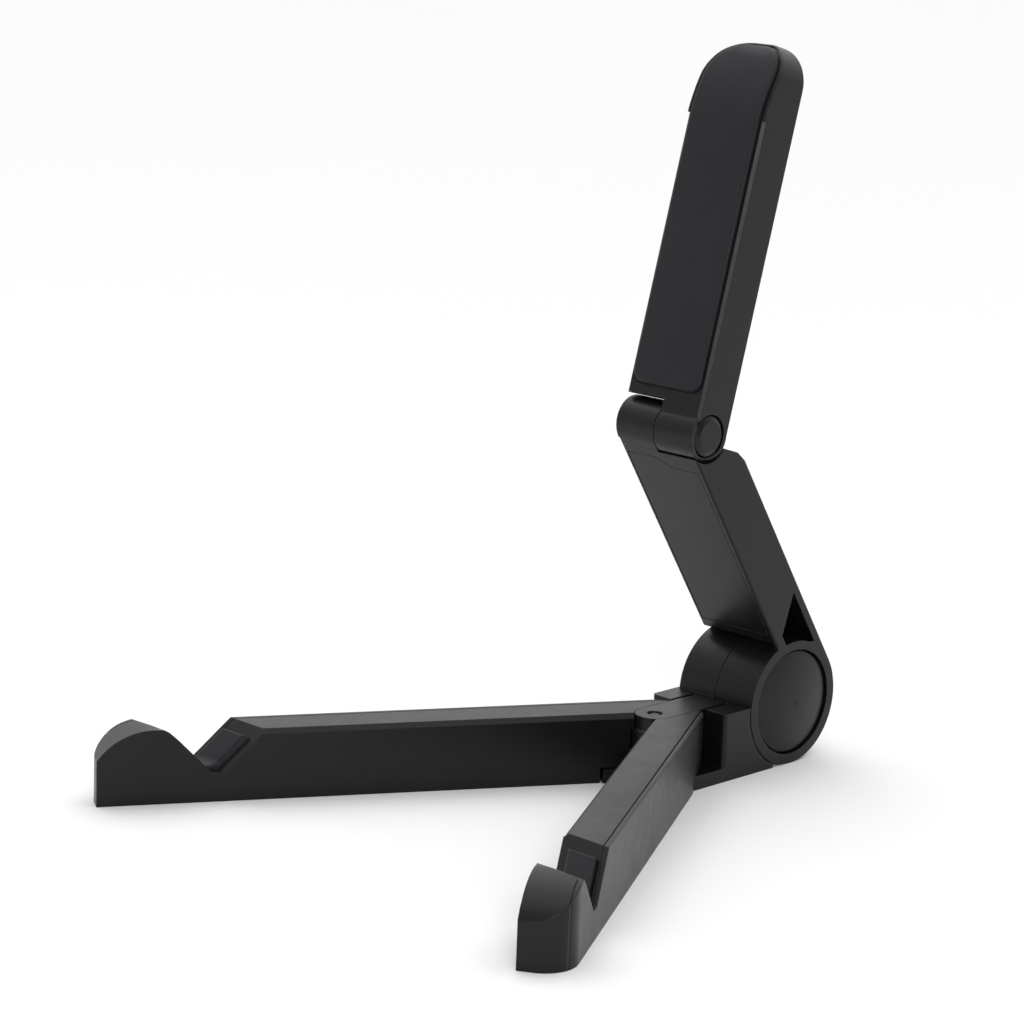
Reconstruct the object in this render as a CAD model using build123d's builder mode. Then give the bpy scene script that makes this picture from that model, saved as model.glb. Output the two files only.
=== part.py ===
from build123d import *
import math
import os

os.makedirs("parts", exist_ok=True)

# ---------------------------------------------------------------- driving dimensions, mm
# Frame: X across, -Y towards the leg tips, Z up, floor at Z=0, origin under the middle of the open stand.
half_width = 12.4          # half of the folded width
fit_gap = 0.15             # half of the gap between pieces that turn against each other
run_gap = 0.4              # radial gap round the big drums
bolt_gap = 0.05            # radial running fit of bolts and pins

hub_y = 71.8               # main hinge axis along Y
hub_r = 16.4               # drum radius of the main hinge; its axis stands this high
hub_lean = 33.4            # rest lean of the lower arm towards the leg tips, degrees
elbow_lean = -14.8         # rest lean of the upper arm, degrees

arm1_len = 82.7            # main hinge axis to elbow axis
arm1_front = -2.5          # front face, measured from the main axis towards the front
elbow_m = -9.0             # elbow axis, same measure
elbow_r = 6.5              # knuckle radius
elbow_gap = 0.35           # radial gap round the knuckles
arm_wall = 1.8             # shell wall of both arms

arm2_rear = -6.4           # rear face of the upper arm from the elbow axis
arm2_front = 5.2           # front face of the upper arm from the elbow axis
arm2_top = 96.9            # tip of the upper arm from the elbow axis
arm2_half_bottom = 6.9     # lower end of the half beside the knuckle
arm2_corner = 10.2         # corner radius of the tip seen from the front

pin_y = hub_y - 39.0       # leg pivot axis
leg_open = 30.3            # rest angle of each leg to the middle plane, degrees
leg_len = 140.0            # pivot axis to tip
leg_w = 11.9               # width of one leg
leg_h = 17.7               # height of the legs and of the bracket
leg_wall = 1.6             # shell wall of the legs
leg_cover = 1.2            # thickness of the outer side cover
leg_tip_r = 8.0            # outer corner radius of the tip
leg_rear_r = 12.2          # radius of the rear end round the pivot
knuckle_r = 5.8            # leg knuckle radius
pin_r = 1.5                # leg pivot pin radius

plate_t = 3.6              # bottom plate of the bracket
plate_r = 13.0             # rounded front of the plate round the pivot
tongue_t = 3.6             # top tongue of the bracket
tongue_w = 5.0             # half width of the tongue
cheek_y = hub_y - 26.4     # front faces of the cheeks
block_rear_y = hub_y - 6.5 # rear end of the bottom plate

cap_r = 13.2               # domed cap of the main hinge
cap_seat_r = 13.8          # recess round the cap, leaves the dark ring
disc_r = 12.3              # flat disc on the other side
small_cap_r = 5.0          # domed cap of the elbow
small_seat_r = 5.4         # recess round the small cap

# V notch: hub-side top, floor, hook side
notch_y = (hub_y - 124.1, hub_y - 132.9, hub_y - 135.5, hub_y - 142.7)
notch_floor = 7.3          # height of the notch floor
hook_top = 15.9            # height where the hook side of the notch ends in the rounded crest
notch_pad_t = 1.35         # rubber pad in the notch
pad_t = 1.0                # rubber pad of the upper arm, above the rim
pad_sink = 0.5             # the pad stands in a recess this deep
pad_groove = 0.4           # open groove round the pad
edge_bevel = 0.8           # bevel along the front edges of the upper arm
arm1_bevel = 0.4           # bevel along the front edges of the lower arm
seam_w = 0.3               # open seam beside the leg covers
seam_depth = 0.4

m3_r = 1.5                 # hinge screw shank
m3_head_r = 2.6            # hinge screw head


def side_plane(lean, origin, x):
    """Plane across X: local x runs up the arm, local y towards its front face, extrusion goes to +X."""
    a = math.radians(lean)
    up = (0, -math.sin(a), math.cos(a))
    return Plane(origin=(x, origin[0], origin[1]), x_dir=up, z_dir=(1, 0, 0))


def face_plane(lean, origin, m):
    """Plane parallel to an arm's front face: local x is world X, local y runs up the arm."""
    a = math.radians(lean)
    normal = (0, -math.cos(a), -math.sin(a))
    start = (0, origin[0] + m * normal[1], origin[1] + m * normal[2])
    return Plane(origin=start, x_dir=(1, 0, 0), z_dir=normal)


def cross_plane(lean, origin, k):
    """Plane square to an arm: local x is world X, local y points from the front face to the rear."""
    a = math.radians(lean)
    up = (0, -math.sin(a), math.cos(a))
    return Plane(origin=(0, origin[0] + k * up[1], origin[1] + k * up[2]), x_dir=(1, 0, 0), z_dir=up)


def leg_plane(side, z):
    """Plane of one leg: local x runs from the pivot to the tip."""
    a = math.radians(leg_open)
    return Plane(origin=(0, pin_y, z), x_dir=(side * math.sin(a), -math.cos(a), 0), z_dir=(0, 0, 1))


lean1 = math.radians(hub_lean)
hub_at = (hub_y, hub_r)
elbow_at = (hub_y - arm1_len * math.sin(lean1) - elbow_m * math.cos(lean1),
            hub_r + arm1_len * math.cos(lean1) - elbow_m * math.sin(lean1))


# ---------------------------------------------------------------- base bracket
seat_x = -9.9              # floor of the disc recess in the fixed drum
web_x = 4.5                # drum web thickness on both sides
friction_t = 1.0           # recess for the friction disc
boss_r = 4.6

with BuildPart() as base_bracket:
    with BuildSketch(side_plane(0, hub_at, -half_width)):
        Circle(hub_r)
    extrude(amount=half_width - fit_gap)
    # block in front of the drums
    with BuildSketch(Plane.XY):
        with Locations((0, (cheek_y + block_rear_y) / 2)):
            Rectangle(2 * half_width, block_rear_y - cheek_y)
    extrude(amount=leg_h)
    fillet(base_bracket.edges().filter_by(Axis.Z).group_by(Axis.Y)[0], radius=1.2)
    # bottom plate under the legs
    with BuildSketch(Plane.XY):
        with Locations((0, (cheek_y + pin_y) / 2)):
            Rectangle(2 * half_width, cheek_y - pin_y + 2)
        with Locations((0, pin_y)):
            Circle(plate_r)
        with Locations((0, pin_y)):
            Rectangle(2 * half_width, 4 * plate_r, mode=Mode.INTERSECT)
        # open sector between the legs
        with BuildLine():
            sector = math.radians(leg_open)
            Polyline((0, pin_y), (plate_r * math.tan(sector), pin_y - plate_r - 1),
                     (-plate_r * math.tan(sector), pin_y - plate_r - 1), close=True)
        make_face(mode=Mode.SUBTRACT)
        with Locations((0, pin_y)):
            Circle(knuckle_r)
    extrude(amount=plate_t)
    # top tongue over the leg knuckles
    with BuildSketch(Plane.XY.offset(leg_h - tongue_t)):
        with Locations((0, pin_y)):
            Circle(tongue_w)
        with Locations((0, (cheek_y + pin_y) / 2)):
            Rectangle(2 * tongue_w, cheek_y - pin_y + 2)
    extrude(amount=tongue_t)
    # slits beside the tongue root
    with BuildSketch(Plane.XY.offset(leg_h - tongue_t)):
        with Locations((-tongue_w - 0.5, cheek_y + 4.0), (tongue_w + 0.5, cheek_y + 4.0)):
            Rectangle(1.0, 9.0)
    extrude(amount=tongue_t, mode=Mode.SUBTRACT)
    # concave arc that clears the turning drum
    with BuildSketch(side_plane(0, hub_at, -fit_gap)):
        Circle(hub_r + run_gap)
    extrude(amount=half_width + 1, mode=Mode.SUBTRACT)
    # the wedge left under the turning drum is cut off square
    with BuildSketch(Plane.XY):
        with Locations((half_width / 2 + 0.5 - fit_gap, hub_y)):
            Rectangle(half_width + 1, 2 * (hub_y - block_rear_y))
    extrude(amount=4, mode=Mode.SUBTRACT)
    # hollow of the block, open downwards
    with BuildSketch(Plane.XY.offset(plate_t)):
        with Locations((6.6, cheek_y + 4.8), (-6.6, cheek_y + 4.8)):
            Rectangle(8.0, 6.2)
    extrude(amount=leg_h - plate_t - 5.6, mode=Mode.SUBTRACT)
    # recess for the flat disc, hollow of the fixed drum with a screw boss
    with BuildSketch(side_plane(0, hub_at, -half_width)):
        Circle(disc_r + 0.3)
    extrude(amount=half_width + seat_x, mode=Mode.SUBTRACT)
    with BuildSketch(side_plane(0, hub_at, seat_x)):
        Circle(10.6)
        Circle(boss_r, mode=Mode.SUBTRACT)
    extrude(amount=-seat_x - web_x, mode=Mode.SUBTRACT)
    # friction disc recess on the seam side, screw bore
    with BuildSketch(side_plane(0, hub_at, -fit_gap - friction_t)):
        Circle(10.0)
    extrude(amount=friction_t, mode=Mode.SUBTRACT)
    with BuildSketch(side_plane(0, hub_at, -half_width)):
        Circle(m3_r + bolt_gap)
    extrude(amount=2 * half_width, mode=Mode.SUBTRACT)
    # small locating hole on the rear of the fixed drum
    with BuildSketch(Plane(origin=(-3.4, hub_y + hub_r + 1, hub_r + 1.5), x_dir=(1, 0, 0),
                           z_dir=(0, -1, 0))):
        Circle(0.8)
    extrude(amount=2.2, mode=Mode.SUBTRACT)
    # pivot pin hole and its head recess underneath
    with BuildSketch(Plane.XY):
        with Locations((0, pin_y)):
            Circle(3.2)
    extrude(amount=1.5, mode=Mode.SUBTRACT)
    with BuildSketch(Plane.XY):
        with Locations((0, pin_y)):
            Circle(pin_r + bolt_gap)
    extrude(amount=leg_h, mode=Mode.SUBTRACT)
    with BuildSketch(Plane.XY.offset(leg_h - 0.6)):
        with Locations((0, pin_y)):
            Circle(pin_r + 0.5)
    extrude(amount=0.6, mode=Mode.SUBTRACT)
    chamfer(base_bracket.edges().filter_by(GeomType.CIRCLE).group_by(Axis.X)[0]
            .sort_by(SortBy.RADIUS)[-1], length=0.5)
base_bracket.part.label = "base_bracket"
export_step(base_bracket.part, "parts/base_bracket.step")

with BuildPart() as hub_disc:
    with BuildSketch(side_plane(0, hub_at, seat_x)):
        Circle(disc_r)
        Circle(3.3, mode=Mode.SUBTRACT)
    extrude(amount=-half_width - seat_x)
    # raised rim round a slightly sunk face
    with BuildSketch(side_plane(0, hub_at, -half_width)):
        Circle(disc_r - 1.4)
    extrude(amount=0.35, mode=Mode.SUBTRACT)
    with BuildSketch(side_plane(0, hub_at, -half_width)):
        Circle(4.4)
        Circle(3.3, mode=Mode.SUBTRACT)
    extrude(amount=0.6)
    chamfer(hub_disc.edges().filter_by(GeomType.CIRCLE).group_by(Axis.X)[0]
            .sort_by(SortBy.RADIUS)[-1], length=0.4)
hub_disc.part.label = "hub_disc"
export_step(hub_disc.part, "parts/hub_disc.step")

# ---------------------------------------------------------------- main hinge hardware
washer_t = 0.5
spring_t = 0.8
nut_t = 2.4
nut_flat = 5.5
nut_x = web_x + bolt_gap + washer_t + spring_t

with BuildPart() as main_hinge_screw:
    with BuildSketch(side_plane(0, hub_at, seat_x - washer_t - 1.8)):
        Circle(m3_head_r)
    extrude(amount=1.8)
    fillet(main_hinge_screw.edges().group_by(Axis.X)[0], radius=0.7)
    with BuildSketch(side_plane(0, hub_at, seat_x - washer_t)):
        Circle(m3_r)
    extrude(amount=nut_x + nut_t + 0.8 - seat_x + washer_t)
    with BuildSketch(side_plane(0, hub_at, seat_x - washer_t - 1.8)):
        RegularPolygon(1.25, 6, major_radius=True)
    extrude(amount=1.2, mode=Mode.SUBTRACT)
main_hinge_screw.part.label = "main_hinge_screw"
export_step(main_hinge_screw.part, "parts/main_hinge_screw.step")

with BuildPart() as main_hinge_washers:
    for start in (seat_x - washer_t, web_x + bolt_gap):
        with BuildSketch(side_plane(0, hub_at, start)):
            Circle(3.2)
            Circle(m3_r + bolt_gap, mode=Mode.SUBTRACT)
        extrude(amount=washer_t)
main_hinge_washers.part.label = "main_hinge_washers"
export_step(main_hinge_washers.part, "parts/main_hinge_washers.step")

with BuildPart() as main_hinge_spring_washer:
    with BuildSketch(side_plane(0, hub_at, web_x + bolt_gap + washer_t)):
        Circle(2.8)
        Circle(m3_r + bolt_gap, mode=Mode.SUBTRACT)
        with Locations((2.3, 0)):
            Rectangle(1.6, 0.5, mode=Mode.SUBTRACT)
    extrude(amount=spring_t)
main_hinge_spring_washer.part.label = "main_hinge_spring_washer"
export_step(main_hinge_spring_washer.part, "parts/main_hinge_spring_washer.step")

with BuildPart() as main_hinge_nut:
    with BuildSketch(side_plane(0, hub_at, nut_x)):
        RegularPolygon(nut_flat / 2, 6, major_radius=False)
        Circle(m3_r + bolt_gap, mode=Mode.SUBTRACT)
    extrude(amount=nut_t)
main_hinge_nut.part.label = "main_hinge_nut"
export_step(main_hinge_nut.part, "parts/main_hinge_nut.step")

with BuildPart() as main_friction_disc:
    with BuildSketch(side_plane(0, hub_at, -fit_gap - friction_t)):
        Circle(9.8)
        Circle(m3_r + 0.2, mode=Mode.SUBTRACT)
    extrude(amount=friction_t + 2 * fit_gap - bolt_gap)
main_friction_disc.part.label = "main_friction_disc"
export_step(main_friction_disc.part, "parts/main_friction_disc.step")

# ---------------------------------------------------------------- lower arm
seat_out_x = 9.6           # ledge under the domed cap
cover_t = 1.8
cover_bottom = 21.0        # cover panel ends, up the arm
cover_top = 76.2
cover_step = 80.2
end_k = 18.2               # lower end of the front face

with BuildPart() as lower_arm_shell:
    # arm over the full width, straight rear wall down to the drum
    with BuildSketch(side_plane(hub_lean, hub_at, -half_width)):
        with BuildLine():
            Polyline((0, -hub_r), (arm1_len - 7, -hub_r), (arm1_len - 0.8, elbow_m - elbow_r + 0.05),
                     (arm1_len, elbow_m), (arm1_len, arm1_front), (0, arm1_front), close=True)
        make_face()
    extrude(amount=2 * half_width)
    # rounded knuckle end of the half beside the upper arm
    with BuildSketch(side_plane(hub_lean, hub_at, -half_width)):
        with Locations((arm1_len, elbow_m)):
            Circle(elbow_r)
    extrude(amount=half_width - fit_gap)
    # turning drum
    with BuildSketch(side_plane(hub_lean, hub_at, fit_gap)):
        Circle(hub_r)
    extrude(amount=half_width - fit_gap)
    # clearance round the fixed drum
    with BuildSketch(side_plane(hub_lean, hub_at, -half_width - 1)):
        Circle(hub_r + run_gap)
    extrude(amount=half_width + 1 + fit_gap, mode=Mode.SUBTRACT)
    # cut-out for the knuckle of the upper arm, with a rounded rear shoulder
    with BuildSketch(side_plane(hub_lean, hub_at, -fit_gap)):
        with Locations((arm1_len, elbow_m)):
            Circle(elbow_r + elbow_gap)
        with BuildLine():
            Polyline((arm1_len, elbow_m), (arm1_len - 6.0, -11.6), (72.2, -15.3), (68.6, -hub_r),
                     (68.6, -hub_r - 1), (arm1_len + 9, -hub_r - 1), (arm1_len + 9, arm1_front + 1),
                     (arm1_len, arm1_front + 1), close=True)
        make_face()
    extrude(amount=half_width + 1, mode=Mode.SUBTRACT)
    # undercut under the front face, the side wall stays as a neck
    with BuildSketch(side_plane(hub_lean, hub_at, -half_width - 1)):
        with BuildLine():
            Polyline((12.0, arm1_front + 4), (12.0, -4.4), (end_k + 0.6, -4.4),
                     (end_k, arm1_front), (end_k, arm1_front + 4), close=True)
        make_face()
        Circle(hub_r, mode=Mode.SUBTRACT)
    extrude(amount=2 * half_width + 1 - 1.5, mode=Mode.SUBTRACT)
    # bevels along the front side edges
    with BuildSketch(cross_plane(hub_lean, hub_at, end_k - 1)):
        for edge_x in (-half_width, half_width):
            with BuildLine():
                Polyline((edge_x, -arm1_front), (edge_x * (1 - arm1_bevel / half_width), -arm1_front),
                         (edge_x, -arm1_front + arm1_bevel), close=True)
            make_face()
    extrude(amount=arm1_len - end_k + 1, mode=Mode.SUBTRACT)
    # hollow, open to the front
    with BuildSketch(side_plane(hub_lean, hub_at, 2 - half_width)):
        with BuildLine():
            Polyline((33, -hub_r + arm_wall), (67.0, -hub_r + arm_wall), (73.5, -9.5),
                     (73.5, arm1_front - cover_t),
                     (25.5, arm1_front - cover_t), (25.5, -8), close=True)
        make_face()
    extrude(amount=2 * half_width - 4, mode=Mode.SUBTRACT)
    # seat of the cover panel
    with BuildSketch(face_plane(hub_lean, hub_at, arm1_front)):
        with BuildLine():
            Polyline((-half_width + 1.0, cover_bottom), (half_width - 1.3, cover_bottom),
                     (half_width - 1.3, cover_top - 0.2), (2.2, cover_top), (-1.2, cover_step - 1.6),
                     (-half_width + 1.0, cover_step - 1.6), close=True)
        cover_seat = make_face()
        fillet(cover_seat.vertices().group_by(Axis.Y)[-1], radius=1.0)
    extrude(amount=-cover_t, mode=Mode.SUBTRACT)
    # three-cornered coring pockets in both side faces
    with BuildSketch(side_plane(hub_lean, hub_at, half_width)):
        with BuildLine():
            Polyline((25.7, -14.4), (18.6, -5.4), (14.9, -5.3), (8.4, -14.4), close=True)
        pocket = make_face()
        Circle(hub_r - 0.4, mode=Mode.SUBTRACT)
    extrude(amount=-11.5, mode=Mode.SUBTRACT)
    with BuildSketch(side_plane(hub_lean, hub_at, -half_width)):
        with BuildLine():
            Polyline((26.2, -11.6), (20.4, -4.6), (12.0, -4.6), (12.0, -11.6), close=True)
        make_face()
        Circle(hub_r + run_gap + 1.1, mode=Mode.SUBTRACT)
    extrude(amount=9.0, mode=Mode.SUBTRACT)
    # recess for the domed cap and the nut side of the drum
    with BuildSketch(side_plane(hub_lean, hub_at, seat_out_x)):
        Circle(cap_seat_r)
    extrude(amount=half_width - seat_out_x, mode=Mode.SUBTRACT)
    with BuildSketch(side_plane(hub_lean, hub_at, web_x)):
        Circle(12.4)
    extrude(amount=seat_out_x - web_x, mode=Mode.SUBTRACT)
    # main screw bore
    with BuildSketch(side_plane(hub_lean, hub_at, 0)):
        Circle(m3_r + bolt_gap)
    extrude(amount=half_width, mode=Mode.SUBTRACT)
    # elbow screw bore and counterbore, seat of the friction washer
    with BuildSketch(side_plane(hub_lean, elbow_at, -fit_gap - 0.5)):
        Circle(4.8)
    extrude(amount=0.5, mode=Mode.SUBTRACT)
    with BuildSketch(side_plane(hub_lean, hub_at, -half_width)):
        with Locations((arm1_len, elbow_m)):
            Circle(m3_r + 0.02)
    extrude(amount=half_width, mode=Mode.SUBTRACT)
    with BuildSketch(side_plane(hub_lean, hub_at, -half_width)):
        with Locations((arm1_len, elbow_m)):
            Circle(3.3)
    extrude(amount=2.6, mode=Mode.SUBTRACT)
lower_arm_shell.part.label = "lower_arm_shell"
export_step(lower_arm_shell.part, "parts/lower_arm_shell.step")

with BuildPart() as lower_arm_cover:
    with BuildSketch(face_plane(hub_lean, hub_at, arm1_front)):
        with BuildLine():
            Polyline((-half_width + 1.0, cover_bottom), (half_width - 1.3, cover_bottom),
                     (half_width - 1.3, cover_top - 0.2), (2.2, cover_top), (-1.2, cover_step - 1.6),
                     (-half_width + 1.0, cover_step - 1.6), close=True)
        cover_face = make_face()
        fillet(cover_face.vertices().group_by(Axis.Y)[-1], radius=1.0)
        offset(amount=-0.12, mode=Mode.REPLACE)
    extrude(amount=-cover_t)
    cover_out = Axis((0, 0, 0), (0, -math.cos(lean1), -math.sin(lean1)))
    chamfer(lower_arm_cover.faces().sort_by(cover_out)[-1].edges(),
            length=0.15)
lower_arm_cover.part.label = "lower_arm_cover"
export_step(lower_arm_cover.part, "parts/lower_arm_cover.step")

with BuildPart() as hub_cap:
    with BuildSketch(side_plane(hub_lean, hub_at, seat_out_x)):
        Circle(cap_r)
    extrude(amount=half_width - seat_out_x - 0.6)
    # shallow dome
    dome_h = 1.5
    dome_r = (cap_r ** 2 + dome_h ** 2) / (2 * dome_h)
    with BuildSketch(Plane(origin=(0, hub_y, hub_r), x_dir=(1, 0, 0), z_dir=(0, -1, 0))):
        with BuildLine():
            Line((half_width - 0.6, 0), (half_width - 0.6 + dome_h, 0))
            RadiusArc((half_width - 0.6 + dome_h, 0), (half_width - 0.6, cap_r), -dome_r)
            Line((half_width - 0.6, cap_r), (half_width - 0.6, 0))
        make_face()
    revolve(axis=Axis((0, hub_y, hub_r), (1, 0, 0)))
    # hollow underneath and a skirt that snaps into the drum
    with BuildSketch(side_plane(hub_lean, hub_at, seat_out_x)):
        Circle(11.2)
    extrude(amount=1.0, mode=Mode.SUBTRACT)
    with BuildSketch(side_plane(hub_lean, hub_at, seat_out_x - 2.6)):
        Circle(12.32)
        Circle(11.2, mode=Mode.SUBTRACT)
    extrude(amount=2.6)
hub_cap.part.label = "hub_cap"
export_step(hub_cap.part, "parts/hub_cap.step")

# ---------------------------------------------------------------- elbow hardware
elbow_seat_x = -half_width + 2.6
elbow_web_x = 4.4
elbow_nut_x = elbow_web_x + bolt_gap + washer_t + spring_t

with BuildPart() as elbow_screw:
    with BuildSketch(side_plane(hub_lean, elbow_at, elbow_seat_x - washer_t - 1.6)):
        Circle(m3_head_r)
    extrude(amount=1.6)
    fillet(elbow_screw.edges().group_by(Axis.X)[0], radius=0.6)
    with BuildSketch(side_plane(hub_lean, elbow_at, elbow_seat_x - washer_t)):
        Circle(m3_r)
    extrude(amount=elbow_nut_x + nut_t + 0.5 - elbow_seat_x + washer_t)
    with BuildSketch(side_plane(hub_lean, elbow_at, elbow_seat_x - washer_t - 1.6)):
        RegularPolygon(1.25, 6, major_radius=True)
    extrude(amount=1.1, mode=Mode.SUBTRACT)
elbow_screw.part.label = "elbow_screw"
export_step(elbow_screw.part, "parts/elbow_screw.step")

with BuildPart() as elbow_washers:
    for start in (elbow_seat_x - washer_t, elbow_web_x + bolt_gap):
        with BuildSketch(side_plane(hub_lean, elbow_at, start)):
            Circle(3.1)
            Circle(m3_r + bolt_gap, mode=Mode.SUBTRACT)
        extrude(amount=washer_t)
elbow_washers.part.label = "elbow_washers"
export_step(elbow_washers.part, "parts/elbow_washers.step")

with BuildPart() as elbow_spring_washer:
    with BuildSketch(side_plane(hub_lean, elbow_at, elbow_web_x + bolt_gap + washer_t)):
        Circle(2.8)
        Circle(m3_r + bolt_gap, mode=Mode.SUBTRACT)
        with Locations((2.3, 0)):
            Rectangle(1.6, 0.5, mode=Mode.SUBTRACT)
    extrude(amount=spring_t)
elbow_spring_washer.part.label = "elbow_spring_washer"
export_step(elbow_spring_washer.part, "parts/elbow_spring_washer.step")

with BuildPart() as elbow_nut:
    with BuildSketch(side_plane(hub_lean, elbow_at, elbow_nut_x)):
        RegularPolygon(nut_flat / 2, 6, major_radius=False)
        Circle(m3_r + bolt_gap, mode=Mode.SUBTRACT)
    extrude(amount=nut_t)
elbow_nut.part.label = "elbow_nut"
export_step(elbow_nut.part, "parts/elbow_nut.step")

with BuildPart() as elbow_friction_washer:
    with BuildSketch(side_plane(hub_lean, elbow_at, -fit_gap - 0.5)):
        Circle(4.6)
        Circle(m3_r + bolt_gap, mode=Mode.SUBTRACT)
    extrude(amount=0.5 + 2 * fit_gap - bolt_gap)
elbow_friction_washer.part.label = "elbow_friction_washer"
export_step(elbow_friction_washer.part, "parts/elbow_friction_washer.step")

# ---------------------------------------------------------------- upper arm
plate2_t = 2.0             # front plate thickness
plate2_low = arm2_front - pad_sink - plate2_t
plate2_bottom = arm2_half_bottom + 1.4
plate2_top = 76.4
rim = 1.1                  # rim of the shell round the front plate
pad_half = half_width - rim - pad_groove
pad_bottom = 9.6
pad_top = arm2_top - 0.8
small_seat_x = 8.6         # ledge under the small cap


def front_line(rise):
    """Front line of the upper arm from its straight part over the curved-back tip, moved forwards by rise."""
    Line((0, arm2_front + rise), (77.0, arm2_front + rise))
    ThreePointArc((77.0, arm2_front + rise), (85.6, 3.85 + rise), (92.6, 1.3 + rise))
    ThreePointArc((92.6, 1.3 + rise), (95.14, -0.46 + rise), (arm2_top, -3.0 + rise))


def arm2_profile(bottom, low):
    """Side profile of the upper arm from its front line down to low, from bottom up to the tip."""
    with BuildSketch() as profile:
        with BuildLine():
            front_line(0)
            Polyline((arm2_top, -3.0), (arm2_top, low), (0, low), (0, arm2_front))
        make_face()
        with Locations((bottom / 2 - 5, 0)):
            Rectangle(bottom + 10, 60, mode=Mode.SUBTRACT)
    return profile.sketch


def tip_band(low, high, half, bottom, top, radius):
    """Layer between two copies of the front line, with a rounded plan outline."""
    with BuildPart() as band:
        with BuildSketch(side_plane(elbow_lean, elbow_at, -half_width)):
            with BuildLine():
                front_line(high)
                Line((arm2_top, -3.0 + high), (arm2_top + 2, -30))
                Line((arm2_top + 2, -30), (0, -30))
                Line((0, -30), (0, arm2_front + high))
            make_face()
            with BuildLine():
                front_line(low)
                Line((arm2_top, -3.0 + low), (arm2_top + 4, -3.0 + low))
                Line((arm2_top + 4, -3.0 + low), (arm2_top + 4, -40))
                Line((arm2_top + 4, -40), (-1, -40))
                Line((-1, -40), (-1, arm2_front + low))
                Line((-1, arm2_front + low), (0, arm2_front + low))
            make_face(mode=Mode.SUBTRACT)
        extrude(amount=2 * half_width)
        with BuildSketch(face_plane(elbow_lean, elbow_at, -20)):
            with Locations((0, (bottom + top) / 2)):
                RectangleRounded(2 * half, top - bottom, 3.0)
            with Locations((0, (top - 30) / 2)):
                RectangleRounded(2 * half, top + 30, radius, mode=Mode.INTERSECT)
        extrude(amount=40, mode=Mode.INTERSECT)
    return band.part


with BuildPart() as upper_arm_shell:
    # half beside the knuckle of the lower arm
    with BuildSketch(side_plane(elbow_lean, elbow_at, -half_width)):
        add(arm2_profile(arm2_half_bottom, arm2_rear))
    extrude(amount=2 * half_width)
    # other half runs down to its own knuckle
    with BuildSketch(side_plane(elbow_lean, elbow_at, fit_gap)):
        Circle(elbow_r)
        with Locations((4, (arm2_front + arm2_rear) / 2)):
            Rectangle(8, arm2_front - arm2_rear)
    extrude(amount=half_width - fit_gap)
    # rounded tip
    with BuildSketch(face_plane(elbow_lean, elbow_at, -20)):
        with Locations((0, (arm2_top - 12) / 2)):
            RectangleRounded(2 * half_width, arm2_top + 12, arm2_corner)
    extrude(amount=40, mode=Mode.INTERSECT)
    # relief under the rear of the short half
    with BuildSketch(side_plane(elbow_lean, elbow_at, -half_width)):
        Circle(elbow_r + elbow_gap + 0.2)
        with BuildLine():
            Polyline((0, arm2_rear - 1), (arm2_half_bottom + 1.6, arm2_rear - 1),
                     (arm2_half_bottom + 0.6, arm2_rear + 2.2), (arm2_half_bottom, arm2_rear + 3.4),
                     (0, arm2_rear + 3.4), close=True)
        make_face()
    extrude(amount=half_width - fit_gap, mode=Mode.SUBTRACT)
    # hollow, open to the front
    with BuildSketch(side_plane(elbow_lean, elbow_at, -half_width + arm_wall + 0.2)):
        with BuildLine():
            Polyline((13.0, arm2_rear + arm_wall), (75.0, arm2_rear + arm_wall), (75.0, plate2_low),
                     (11.0, plate2_low), close=True)
        make_face()
    extrude(amount=2 * (half_width - arm_wall - 0.2), mode=Mode.SUBTRACT)
    # seat of the front plate
    with BuildSketch(face_plane(elbow_lean, elbow_at, plate2_low)):
        with Locations((0, (plate2_bottom + plate2_top) / 2)):
            Rectangle(2 * (half_width - rim), plate2_top - plate2_bottom)
    extrude(amount=plate2_t + 0.01, mode=Mode.SUBTRACT)
    # recess of the pad
    add(tip_band(-pad_sink, 6, pad_half + pad_groove, pad_bottom - pad_groove, pad_top + pad_groove,
                 arm2_corner - rim), mode=Mode.SUBTRACT)
    # lip over the knuckle of the lower arm
    with BuildSketch(side_plane(elbow_lean, elbow_at, -half_width)):
        with BuildLine():
            Polyline((arm2_half_bottom, arm2_front), (arm2_half_bottom - 0.35, arm2_front - 0.6),
                     (arm2_half_bottom - 0.35, 3.0), (arm2_half_bottom, 2.4), close=True)
        make_face()
    extrude(amount=half_width - fit_gap)
    # bevel along the front side edges of the rim
    with BuildSketch(cross_plane(elbow_lean, elbow_at, 1.5)):
        for edge_x in (-half_width, half_width):
            with BuildLine():
                Polyline((edge_x, -arm2_front), (edge_x * (1 - edge_bevel / half_width), -arm2_front),
                         (edge_x, -arm2_front + edge_bevel), close=True)
            make_face()
    extrude(amount=77.0 - 1.5, mode=Mode.SUBTRACT)
    # knuckle: nut pocket, small cap seat, screw bore
    with BuildSketch(side_plane(elbow_lean, elbow_at, small_seat_x)):
        Circle(small_seat_r)
    extrude(amount=half_width, mode=Mode.SUBTRACT)
    with BuildSketch(side_plane(elbow_lean, elbow_at, elbow_web_x)):
        Circle(4.6)
    extrude(amount=half_width, mode=Mode.SUBTRACT)
    with BuildSketch(side_plane(elbow_lean, elbow_at, 0)):
        Circle(m3_r + bolt_gap)
    extrude(amount=half_width, mode=Mode.SUBTRACT)
upper_arm_shell.part.label = "upper_arm_shell"
export_step(upper_arm_shell.part, "parts/upper_arm_shell.step")

with BuildPart() as upper_arm_front_plate:
    with BuildSketch(face_plane(elbow_lean, elbow_at, plate2_low)):
        with Locations((0, (plate2_bottom + plate2_top) / 2)):
            RectangleRounded(2 * (half_width - rim) - 0.2, plate2_top - plate2_bottom - 0.2, 0.6)
    extrude(amount=plate2_t)
upper_arm_front_plate.part.label = "upper_arm_front_plate"
export_step(upper_arm_front_plate.part, "parts/upper_arm_front_plate.step")

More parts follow.
